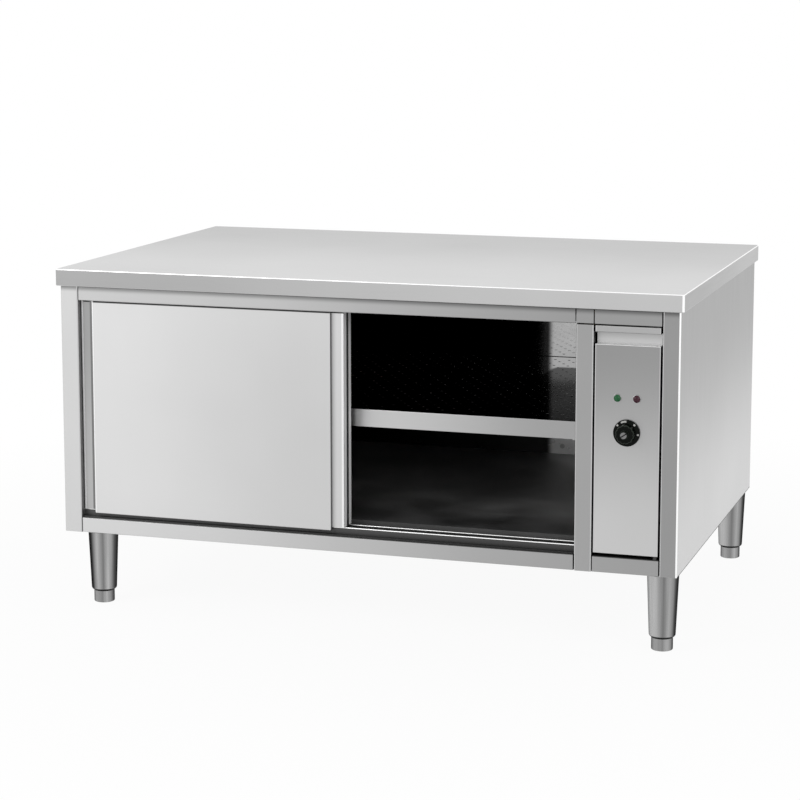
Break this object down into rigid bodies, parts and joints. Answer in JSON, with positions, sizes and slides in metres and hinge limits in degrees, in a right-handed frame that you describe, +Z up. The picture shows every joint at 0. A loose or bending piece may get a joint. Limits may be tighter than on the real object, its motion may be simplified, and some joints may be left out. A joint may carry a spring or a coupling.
{
  "type": "heated work table",
  "caption": "Free-standing heated work table: folded worktop, insulated cabinet with two sliding doors, shelf, control panel with thermostat, and adjustable legs.",
  "frame": {"origin": "on the floor, under the middle of the worktop", "axes": "+X to the right as one faces the doors, +Y to the back, +Z up; doors face -Y"},
  "size_m": [1.5, 1.054, 0.81],
  "materials": {
    "worktop_steel": "brushed stainless, satin",
    "brushed_steel": "brushed stainless, satin",
    "door_steel": "brushed stainless, satin",
    "plain_steel": "plain mill finish",
    "chamber_steel": "dark inner lining",
    "track_steel": "brushed, bright beads",
    "leg_steel": "brushed stainless, satin",
    "foot_steel": "brushed stainless, satin",
    "board": "plain board",
    "mineral_wool": "mineral wool",
    "door_core": "mineral wool board",
    "nylon": "nylon",
    "dark_plastic": "moulded",
    "knob_plastic": "moulded, glossy",
    "bezel_metal": "bright",
    "green_lens": "translucent",
    "red_lens": "translucent",
    "motor_paint": "satin paint",
    "impeller_aluminium": "cast",
    "heater_steel": "heat tinted tube"
  },
  "bodies": {
    "cabinet": {"worktop": "worktop_steel", "side_panel_left": "brushed_steel", "side_panel_right": "brushed_steel", "centre_post": "brushed_steel", "rail_top": "brushed_steel", "post_cap": "brushed_steel", "rail_top_right": "brushed_steel", "rail_bottom": "brushed_steel", "rail_bottom_right": "brushed_steel", "worktop_underlay": "board", "bottom_panel": "plain_steel", "back_panel": "plain_steel", "shelf_rails": "plain_steel", "door_track": "plain_steel", "hinge_pins": "plain_steel", "back_screws": "plain_steel", "deck": "chamber_steel", "liner_left": "chamber_steel", "liner_right": "chamber_steel", "liner_back": "chamber_steel", "liner_top": "chamber_steel", "shelf": "chamber_steel", "fan_cover": "chamber_steel", "sill_track": "track_steel", "insulation_blanket": "mineral_wool", "insulation_top": "mineral_wool", "insulation_floor": "mineral_wool", "thermostat_bulb": "plain_steel", "fan_motor": "motor_paint", "heater_ring": "heater_steel", "terminal_block": "dark_plastic", "cable_gland": "dark_plastic", "legs": "leg_steel"},
    "door_front": {"door_front_skin": "door_steel", "door_front_liner": "door_steel", "door_front_core": "door_core", "door_front_hangers": "plain_steel"},
    "door_rear": {"door_rear_skin": "door_steel", "door_rear_liner": "door_steel", "door_rear_core": "door_core", "door_rear_hangers": "plain_steel"},
    "control_door": {"control_panel": "brushed_steel", "thermostat": "dark_plastic", "lamp_bezels": "bezel_metal", "lens_green": "green_lens", "lens_red": "red_lens"},
    "door_front_roller_left": {"door_front_roller_left": "nylon"},
    "door_front_roller_right": {"door_front_roller_right": "nylon"},
    "door_rear_roller_left": {"door_rear_roller_left": "nylon"},
    "door_rear_roller_right": {"door_rear_roller_right": "nylon"},
    "foot_front_left": {"foot_front_left": "foot_steel"},
    "foot_front_right": {"foot_front_right": "foot_steel"},
    "foot_back_left": {"foot_back_left": "foot_steel"},
    "foot_back_right": {"foot_back_right": "foot_steel"},
    "knob": {"thermostat_knob": "knob_plastic"},
    "fan": {"fan_impeller": "impeller_aluminium"}
  },
  "joints": [
    {"name": "door_front_slide", "type": "slide", "parent": "cabinet", "child": "door_front", "axis": [1, 0, 0], "range_m": [0, 0.546]},
    {"name": "door_rear_slide", "type": "slide", "parent": "cabinet", "child": "door_rear", "axis": [1, 0, 0], "range_m": [0, 0.546]},
    {"name": "door_front_roller_left_spin", "type": "hinge", "parent": "door_front", "child": "door_front_roller_left", "pos_m": [-0.626, -0.4717, 0.7678], "axis": [0, 1, 0], "range_deg": [0, 2610]},
    {"name": "door_front_roller_right_spin", "type": "hinge", "parent": "door_front", "child": "door_front_roller_right", "pos_m": [-0.109, -0.4717, 0.7678], "axis": [0, 1, 0], "range_deg": [0, 2610]},
    {"name": "door_rear_roller_left_spin", "type": "hinge", "parent": "door_rear", "child": "door_rear_roller_left", "pos_m": [-0.626, -0.4397, 0.7678], "axis": [0, 1, 0], "range_deg": [0, 2610]},
    {"name": "door_rear_roller_right_spin", "type": "hinge", "parent": "door_rear", "child": "door_rear_roller_right", "pos_m": [-0.109, -0.4397, 0.7678], "axis": [0, 1, 0], "range_deg": [0, 2610]},
    {"name": "control_door_hinge", "type": "hinge", "parent": "cabinet", "child": "control_door", "pos_m": [0.691, -0.485, 0.4775], "axis": [0, 0, 1], "range_deg": [0, 100]},
    {"name": "knob_turn", "type": "hinge", "parent": "control_door", "child": "knob", "pos_m": [0.625, -0.51, 0.497], "axis": [0, 1, 0], "range_deg": [0, 300]},
    {"name": "fan_spin", "type": "hinge", "parent": "cabinet", "child": "fan", "pos_m": [0.479, 0, 0.338], "axis": [1, 0, 0], "continuous": true},
    {"name": "foot_front_left_adjust", "type": "slide", "parent": "cabinet", "child": "foot_front_left", "axis": [0, 0, -1], "range_m": [0, 0.02]},
    {"name": "foot_front_right_adjust", "type": "slide", "parent": "cabinet", "child": "foot_front_right", "axis": [0, 0, -1], "range_m": [0, 0.02]},
    {"name": "foot_back_left_adjust", "type": "slide", "parent": "cabinet", "child": "foot_back_left", "axis": [0, 0, -1], "range_m": [0, 0.02]},
    {"name": "foot_back_right_adjust", "type": "slide", "parent": "cabinet", "child": "foot_back_right", "axis": [0, 0, -1], "range_m": [0, 0.02]}
  ],
  "couplings": [
    {"joint": "door_front_roller_left_spin", "follows": "door_front_slide", "rad_per_m": 83.333},
    {"joint": "door_front_roller_right_spin", "follows": "door_front_slide", "rad_per_m": 83.333},
    {"joint": "door_rear_roller_left_spin", "follows": "door_rear_slide", "rad_per_m": 83.333},
    {"joint": "door_rear_roller_right_spin", "follows": "door_rear_slide", "rad_per_m": 83.333}
  ]
}
